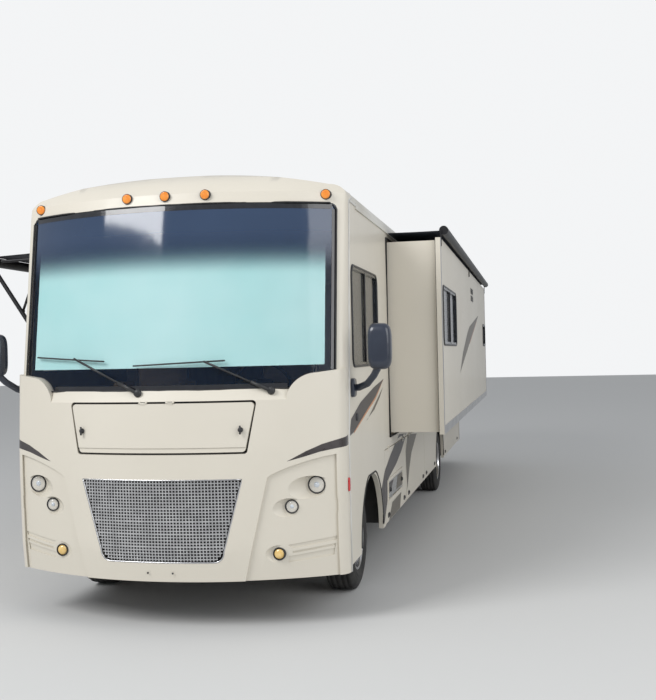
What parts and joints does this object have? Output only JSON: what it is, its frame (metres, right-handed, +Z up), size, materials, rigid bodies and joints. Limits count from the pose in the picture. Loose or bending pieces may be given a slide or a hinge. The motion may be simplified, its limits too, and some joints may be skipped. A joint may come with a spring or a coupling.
{
  "type": "motorhome",
  "caption": "Flat-fronted motorhome with a full-length slide-out room, patio awning run out, bay doors and dual rear wheels.",
  "frame": {"origin": "centre of the whole footprint at ground level, with the slide-out room and the awning out", "axes": "+Z up, -Y towards the front of the coach, +X towards the driver's side"},
  "size_m": [4.329, 10.9979, 3.62],
  "materials": {
    "awning_cloth": "woven",
    "awning_metal": "satin",
    "axle_black": "rough",
    "bay_grey": "matte",
    "black_plastic": "matte",
    "body_ivory": "gloss",
    "bright_metal": "satin",
    "chassis_black": "satin",
    "covers": "woven",
    "dash_grey": "matte",
    "engine_grey": "rough",
    "floor_wood": "satin",
    "glass_dark": "gloss",
    "grille_metal": "satin",
    "lamp_lens": "gloss",
    "navy_plastic": "gloss",
    "roof_white": "satin",
    "seat_tan": "soft",
    "steel_grey": "brushed",
    "topper_cloth": "woven",
    "tyre_black": "matte",
    "wheel_bright": "polished"
  },
  "bodies": {
    "coach": {"awning_brackets": "awning_metal", "awning_fabric": "awning_cloth", "cab_seats": "seat_tan", "chassis_frame": "chassis_black", "dashboard": "dash_grey", "drive_shaft": "steel_grey", "engine_block": "engine_grey", "entry_step": "bay_grey", "exhaust": "steel_grey", "floor": "floor_wood", "front_axle": "axle_black", "front_cap": "body_ivory", "fuel_tank": "chassis_black", "grille": "grille_metal", "lamps": "lamp_lens", "mirrors": "navy_plastic", "rear_axle": "axle_black", "rear_bumper": "body_ivory", "rear_cap": "body_ivory", "rear_ladder": "bright_metal", "roof": "roof_white", "roof_units": "roof_white", "side_windows": "glass_dark", "storage_bays": "bay_grey", "topper_fabric": "topper_cloth", "wall_left": "body_ivory", "wall_right": "body_ivory", "window_covers": "covers", "windshield": "glass_dark", "wipers": "black_plastic"},
    "steer_left": {"knuckle_left": "axle_black"},
    "steer_right": {"knuckle_right": "axle_black"},
    "front_wheel_left": {"front_wheel_left": "wheel_bright", "front_tyre_left": "tyre_black"},
    "front_wheel_right": {"front_wheel_right": "wheel_bright", "front_tyre_right": "tyre_black"},
    "rear_wheels_left": {"rear_wheel_left": "wheel_bright", "rear_tyres_left": "tyre_black"},
    "rear_wheels_right": {"rear_wheel_right": "wheel_bright", "rear_tyres_right": "tyre_black"},
    "slide_room": {"slide_box": "body_ivory", "slide_face": "body_ivory", "slide_windows": "glass_dark", "topper_roller": "awning_metal"},
    "hood": {"hood_door": "body_ivory"},
    "entry": {"entry_door": "body_ivory"},
    "hatch": {"utility_hatch": "bright_metal"},
    "awning_arm": {"awning_arms": "awning_metal", "awning_roller": "awning_metal"},
    "awning_rafter": {"awning_rafters": "awning_metal"},
    "awning_strut": {"awning_struts": "awning_metal"},
    "bay_left_1": {"bay_door_left_1": "body_ivory"},
    "bay_left_2": {"bay_door_left_2": "body_ivory"},
    "bay_left_3": {"bay_door_left_3": "body_ivory"},
    "bay_left_4": {"bay_door_left_4": "body_ivory"},
    "bay_right_1": {"bay_door_right_1": "body_ivory"},
    "bay_right_2": {"bay_door_right_2": "body_ivory"},
    "bay_right_3": {"bay_door_right_3": "body_ivory"}
  },
  "joints": [
    {"name": "steer_left", "type": "hinge", "parent": "coach", "child": "steer_left", "pos_m": [1.1105, -3.995, 0.412], "axis": [0, 0, 1], "range_deg": [-30, 30]},
    {"name": "steer_right", "type": "hinge", "parent": "coach", "child": "steer_right", "pos_m": [-0.4895, -3.995, 0.412], "axis": [0, 0, 1], "range_deg": [-30, 30]},
    {"name": "spin_front_left", "type": "hinge", "parent": "steer_left", "child": "front_wheel_left", "pos_m": [1.3505, -3.995, 0.412], "axis": [1, 0, 0], "continuous": true},
    {"name": "spin_front_right", "type": "hinge", "parent": "steer_right", "child": "front_wheel_right", "pos_m": [-0.7295, -3.995, 0.412], "axis": [1, 0, 0], "continuous": true},
    {"name": "spin_rear_left", "type": "hinge", "parent": "coach", "child": "rear_wheels_left", "pos_m": [1.2955, 1.795, 0.412], "axis": [1, 0, 0], "continuous": true},
    {"name": "spin_rear_right", "type": "hinge", "parent": "coach", "child": "rear_wheels_right", "pos_m": [-0.6745, 1.795, 0.412], "axis": [1, 0, 0], "continuous": true},
    {"name": "slide_room_in", "type": "slide", "parent": "coach", "child": "slide_room", "axis": [-1, 0, 0], "range_m": [0, 0.45], "deforming": ["topper_fabric"]},
    {"name": "hood_lift", "type": "hinge", "parent": "coach", "child": "hood", "pos_m": [0.3105, -5.467, 1.606], "axis": [1, 0, 0], "range_deg": [-75, 0]},
    {"name": "entry_swing", "type": "hinge", "parent": "coach", "child": "entry", "pos_m": [-0.9785, -3.089, 1.6], "axis": [0, 0, 1], "range_deg": [0, 100]},
    {"name": "bay_left_1_lift", "type": "hinge", "parent": "coach", "child": "bay_left_1", "pos_m": [1.5915, -2.575, 1.056], "axis": [0, 1, 0], "range_deg": [-100, 0]},
    {"name": "bay_left_2_lift", "type": "hinge", "parent": "coach", "child": "bay_left_2", "pos_m": [1.5915, -1, 1.056], "axis": [0, 1, 0], "range_deg": [-100, 0]},
    {"name": "bay_left_3_lift", "type": "hinge", "parent": "coach", "child": "bay_left_3", "pos_m": [1.5915, 0.53, 1.056], "axis": [0, 1, 0], "range_deg": [-100, 0]},
    {"name": "bay_left_4_lift", "type": "hinge", "parent": "coach", "child": "bay_left_4", "pos_m": [1.5915, 3.715, 1.056], "axis": [0, 1, 0], "range_deg": [-100, 0]},
    {"name": "bay_right_1_lift", "type": "hinge", "parent": "coach", "child": "bay_right_1", "pos_m": [-0.9705, -1.155, 1.056], "axis": [0, 1, 0], "range_deg": [0, 100]},
    {"name": "bay_right_2_lift", "type": "hinge", "parent": "coach", "child": "bay_right_2", "pos_m": [-0.9705, 0.415, 1.056], "axis": [0, 1, 0], "range_deg": [0, 100]},
    {"name": "bay_right_3_lift", "type": "hinge", "parent": "coach", "child": "bay_right_3", "pos_m": [-0.9705, 3.715, 1.056], "axis": [0, 1, 0], "range_deg": [0, 100]},
    {"name": "hatch_drop", "type": "hinge", "parent": "bay_left_1", "child": "hatch", "pos_m": [1.5935, -2.64, 0.597], "axis": [0, 1, 0], "range_deg": [0, 110]},
    {"name": "awning_fold", "type": "hinge", "parent": "coach", "child": "awning_arm", "pos_m": [-1.0045, -0.735, 1.2], "axis": [0, 1, 0], "range_deg": [0, 31.2], "deforming": ["awning_fabric"]},
    {"name": "awning_rafter_fold", "type": "hinge", "parent": "coach", "child": "awning_rafter", "pos_m": [-1.0045, -0.735, 2.905], "axis": [0, 1, 0], "range_deg": [-82, 0]},
    {"name": "awning_strut_fold", "type": "hinge", "parent": "awning_arm", "child": "awning_strut", "pos_m": [-1.80172, -0.735, 2.39405], "axis": [0, 1, 0], "range_deg": [-60, 0]}
  ],
  "couplings": [
    {"joint": "steer_right", "follows": "steer_left", "ratio": 1},
    {"joint": "awning_rafter_fold", "follows": "awning_fold", "ratio": -2.6282},
    {"joint": "awning_strut_fold", "follows": "awning_fold", "ratio": -1.9231}
  ]
}
